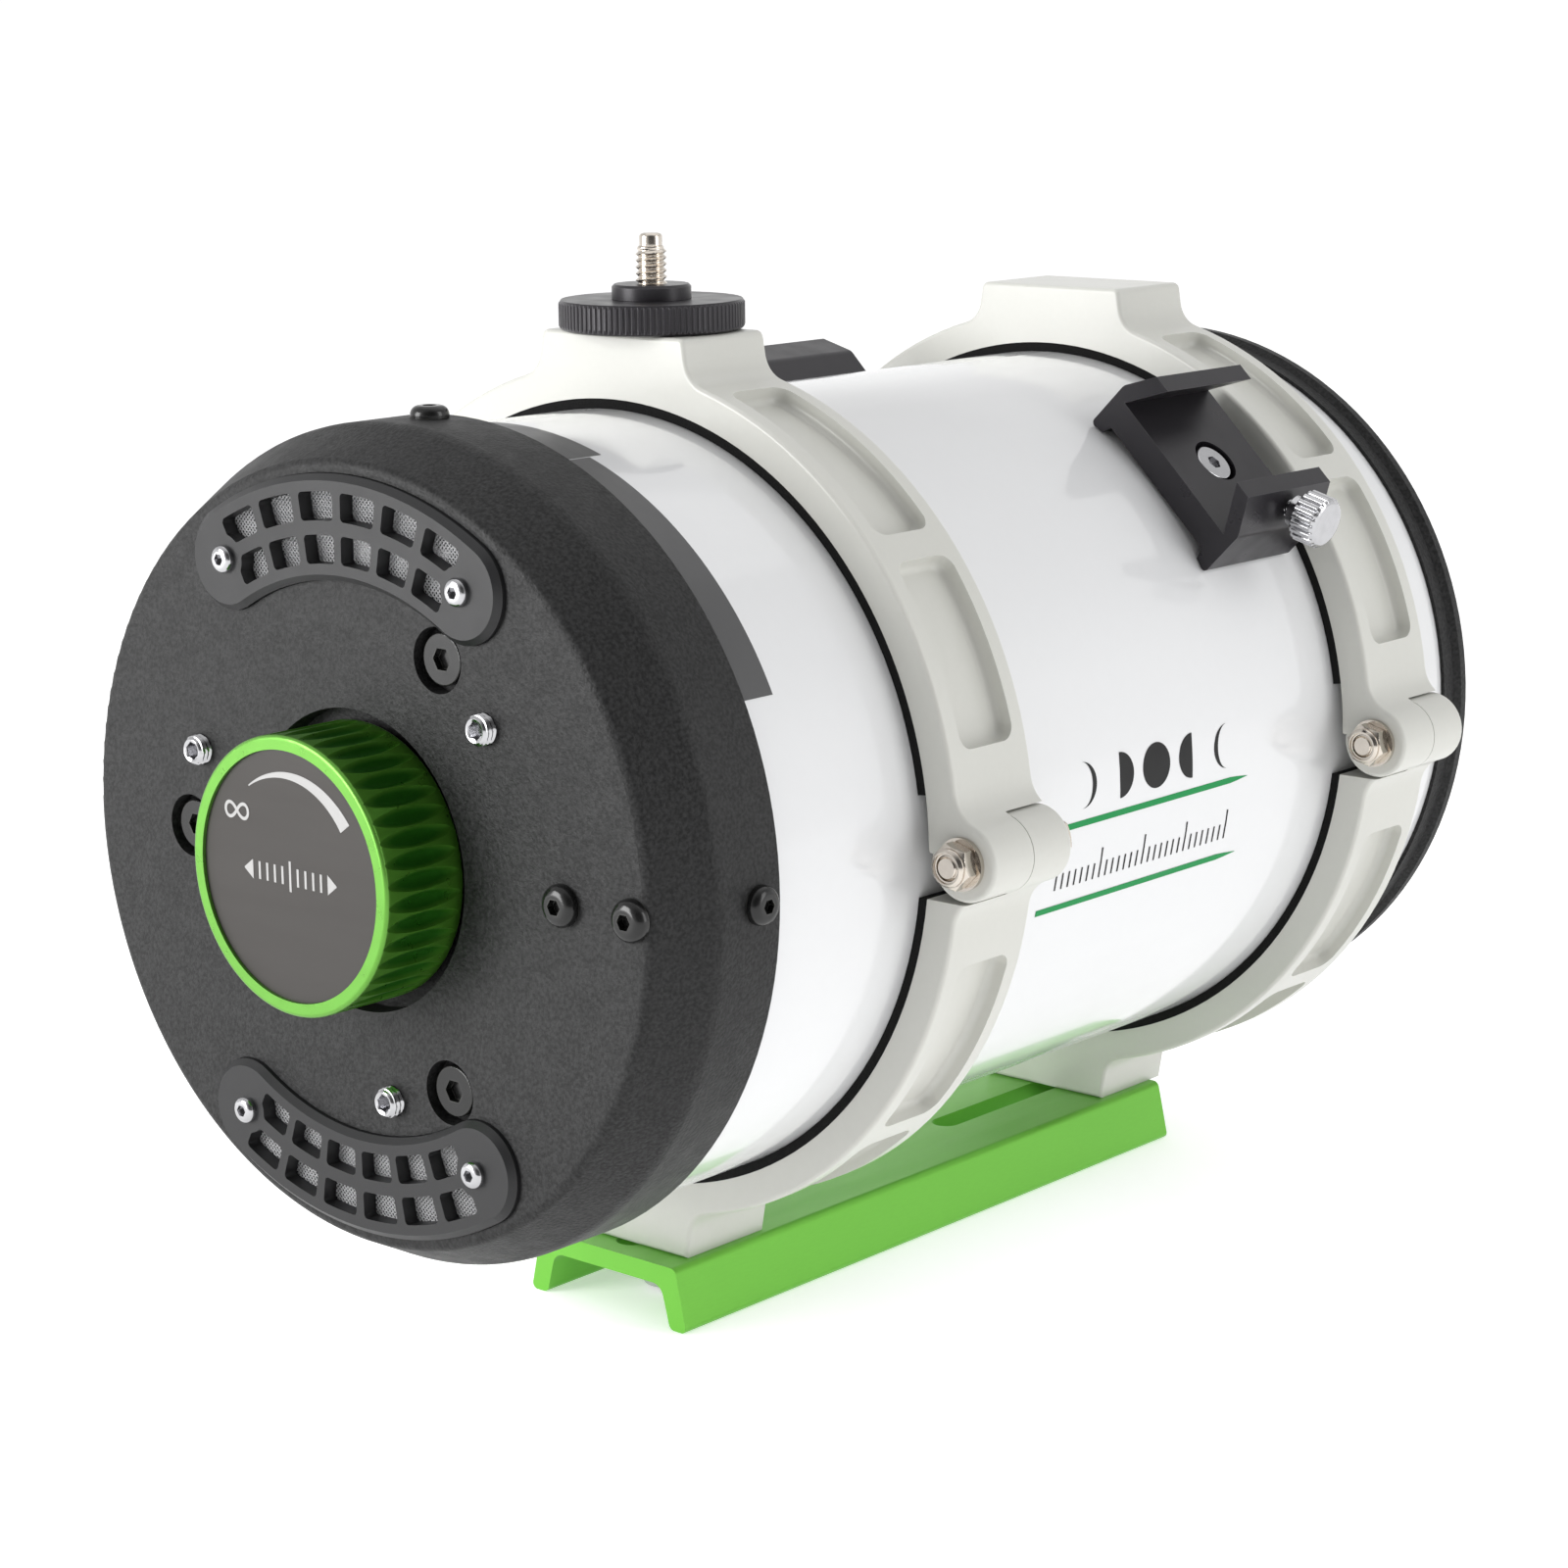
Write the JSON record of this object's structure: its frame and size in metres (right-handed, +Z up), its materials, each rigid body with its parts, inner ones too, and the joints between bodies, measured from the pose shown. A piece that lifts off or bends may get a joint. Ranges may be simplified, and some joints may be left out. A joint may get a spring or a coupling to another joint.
{
  "type": "telescope optical tube",
  "caption": "Short telescope tube with a rear focus knob and vents, held in hinged rings on a dovetail bar, with finder shoes and a camera stud.",
  "frame": {"origin": "middle of the dovetail bar's underside, midway along and across it", "axes": "+Y along the optical axis from the focus knob to the front window, +Z up, +X towards the ring hinges"},
  "size_m": [0.2006, 0.2875, 0.2195],
  "materials": {
    "tube_white": "glossy white enamel",
    "cell_black": "fine-grained black powder coat",
    "grille_black": "satin black moulding",
    "wire_mesh": "fine woven wire",
    "bright_steel": "bright zinc plate",
    "nickel": "nickel plate",
    "black_steel": "black oxide",
    "green_anodised": "satin green anodising",
    "knob_plate_grey": "satin gun-metal anodising",
    "ring_cream": "satin warm light-grey paint on cast metal",
    "felt_black": "black felt",
    "black_anodised": "satin black anodising",
    "machined_aluminium": "machined",
    "plain_steel": "ground",
    "bronze": "sintered bronze",
    "gasket_rubber": "matte rubber",
    "optical_glass": "coated optical glass",
    "mirror_glass": "aluminised front surface"
  },
  "bodies": {
    "mount_base": {"dovetail_bar": "green_anodised", "bar_bolts": "bright_steel", "bar_washers": "bright_steel", "rear_ring_lower": "ring_cream", "front_ring_lower": "ring_cream", "rear_felt_lower": "felt_black", "front_felt_lower": "felt_black", "hinge_bolts": "nickel", "hinge_nuts": "nickel", "hinge_washers": "nickel"},
    "rear_ring_cap": {"rear_ring_upper": "ring_cream", "rear_felt_upper": "felt_black", "camera_stud": "nickel"},
    "front_ring_cap": {"front_ring_upper": "ring_cream", "front_felt_upper": "felt_black"},
    "focus_drive": {"focus_knob": "green_anodised", "knob_plate": "knob_plate_grey", "focus_shaft": "plain_steel"},
    "mirror_slide": {"mirror_carrier": "machined_aluminium", "mirror_cushion": "gasket_rubber", "primary_mirror": "mirror_glass", "mirror_retainer": "black_anodised"},
    "push_screw_1": {"push_screw_1": "bright_steel"},
    "push_screw_2": {"push_screw_2": "bright_steel"},
    "push_screw_3": {"push_screw_3": "bright_steel"},
    "rear_clamp": {"rear_clamp_screw": "black_anodised"},
    "front_clamp": {"front_clamp_screw": "black_anodised"},
    "camera_wheel": {"camera_wheel": "black_anodised"},
    "lock_collar": {"lock_collar": "black_anodised"},
    "finder_thumbscrew_right": {"finder_thumbscrew_right": "nickel"},
    "finder_thumbscrew_left": {"finder_thumbscrew_left": "nickel"},
    "optical_tube": {"tube_shell": "tube_white", "rear_cell": "cell_black", "front_cell": "cell_black", "vent_grille_top": "grille_black", "vent_grille_bottom": "grille_black", "vent_mesh_top": "wire_mesh", "vent_mesh_bottom": "wire_mesh", "vent_screws": "bright_steel", "shoe_screws": "bright_steel", "rim_screws": "black_steel", "pull_screws": "black_steel", "stop_screws": "black_steel", "finder_shoe_right": "black_anodised", "finder_shoe_left": "black_anodised", "port_housing": "black_anodised", "port_clamp_ring": "black_anodised", "lens_retainer": "black_anodised", "field_lens_spacer": "black_anodised", "tilt_plate": "machined_aluminium", "guide_rods": "plain_steel", "focus_bearing": "bronze", "lens_gasket": "gasket_rubber", "corrector_lens": "optical_glass", "field_lens_rear": "optical_glass", "field_lens_front": "optical_glass"}
  },
  "joints": [
    {"name": "tube_turn", "type": "hinge", "parent": "mount_base", "child": "optical_tube", "pos_m": [0, 0, 0.1077], "axis": [0, 1, 0], "range_deg": [-90, 90]},
    {"name": "rear_ring_open", "type": "hinge", "parent": "mount_base", "child": "rear_ring_cap", "pos_m": [0.088, -0.0661, 0.107], "axis": [0, 1, 0], "range_deg": [0, 110]},
    {"name": "front_ring_open", "type": "hinge", "parent": "mount_base", "child": "front_ring_cap", "pos_m": [0.088, 0.0765, 0.107], "axis": [0, 1, 0], "range_deg": [0, 110]},
    {"name": "focus_turn", "type": "hinge", "parent": "optical_tube", "child": "focus_drive", "pos_m": [0, -0.15, 0.1077], "axis": [0, 1, 0], "range_deg": [-1082, 1082]},
    {"name": "mirror_travel", "type": "slide", "parent": "optical_tube", "child": "mirror_slide", "axis": [0, 1, 0], "range_m": [-0.0045, 0.0045]},
    {"name": "rear_clamp_turn", "type": "hinge", "parent": "rear_ring_cap", "child": "rear_clamp", "pos_m": [-0.0965, -0.0661, 0.1077], "axis": [0, 0, 1], "range_deg": [0, 3240]},
    {"name": "front_clamp_turn", "type": "hinge", "parent": "front_ring_cap", "child": "front_clamp", "pos_m": [-0.0965, 0.0765, 0.1077], "axis": [0, 0, 1], "range_deg": [0, 3240]},
    {"name": "camera_wheel_turn", "type": "hinge", "parent": "rear_ring_cap", "child": "camera_wheel", "pos_m": [0, -0.0661, 0.2036], "axis": [0, 0, 1], "continuous": true},
    {"name": "lock_collar_turn", "type": "hinge", "parent": "rear_ring_cap", "child": "lock_collar", "pos_m": [0, -0.0661, 0.208], "axis": [0, 0, 1], "continuous": true},
    {"name": "push_screw_1_turn", "type": "hinge", "parent": "optical_tube", "child": "push_screw_1", "pos_m": [0.03524, -0.145, 0.13727], "axis": [0, 1, 0], "range_deg": [-360, 360]},
    {"name": "push_screw_2_turn", "type": "hinge", "parent": "optical_tube", "child": "push_screw_2", "pos_m": [-0.04323, -0.145, 0.12343], "axis": [0, 1, 0], "range_deg": [-360, 360]},
    {"name": "push_screw_3_turn", "type": "hinge", "parent": "optical_tube", "child": "push_screw_3", "pos_m": [0.00799, -0.145, 0.0624], "axis": [0, 1, 0], "range_deg": [-360, 360]},
    {"name": "finder_thumbscrew_right_turn", "type": "hinge", "parent": "optical_tube", "child": "finder_thumbscrew_right", "pos_m": [0.07775, 0.0454, 0.15893], "axis": [0.963, 0, -0.2696], "range_deg": [0, 1440]},
    {"name": "finder_thumbscrew_left_turn", "type": "hinge", "parent": "optical_tube", "child": "finder_thumbscrew_left", "pos_m": [-0.07775, 0.038, 0.15893], "axis": [-0.963, 0, -0.2696], "range_deg": [0, 1440]}
  ],
  "couplings": [
    {"joint": "focus_turn", "follows": "mirror_travel", "rad_per_m": 4188.8}
  ]
}
